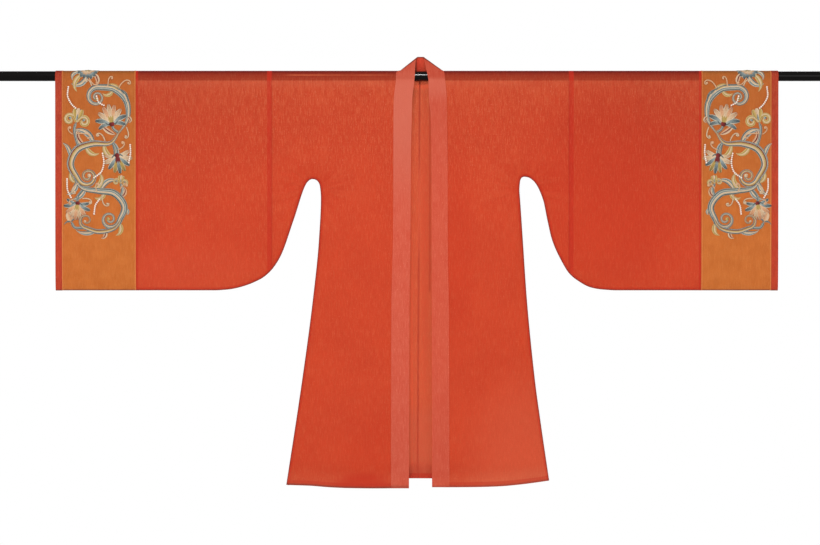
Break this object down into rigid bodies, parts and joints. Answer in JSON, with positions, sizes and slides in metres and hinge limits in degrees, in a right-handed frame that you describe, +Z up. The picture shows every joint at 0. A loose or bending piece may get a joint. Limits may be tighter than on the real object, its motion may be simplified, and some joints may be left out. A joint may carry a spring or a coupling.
{
  "type": "hanfu robe on a display rod",
  "caption": "Sheer red big-sleeved hanfu outer robe with a parallel open front and embroidered cuff bands, hung flat through its sleeves on a straight black rod.",
  "frame": {"origin": "middle of the rod's axis, under the middle of the robe's neck", "axes": "+X along the rod to the right as seen from the robe's front, +Y from the robe's front to its back, +Z up"},
  "size_m": [2.64, 0.0361, 1.3163],
  "materials": {
    "rod": "black gloss paint",
    "robe": "sheer slubbed weave with a faint gold shimmer",
    "collar": "sheer cloth doubled, pale coral",
    "cuff": "matt orange cloth under multicoloured satin-stitch embroidery",
    "binding": "folded strip of the robe's cloth"
  },
  "bodies": {
    "root": {"rod": "rod", "body_left": "robe", "body_right": "robe", "sleeve_left": "robe", "sleeve_right": "robe", "cuff_band_left": "cuff", "cuff_band_right": "cuff", "wrist_binding_left": "binding", "wrist_binding_right": "binding", "collar_band": "collar"}
  },
  "joints": []
}
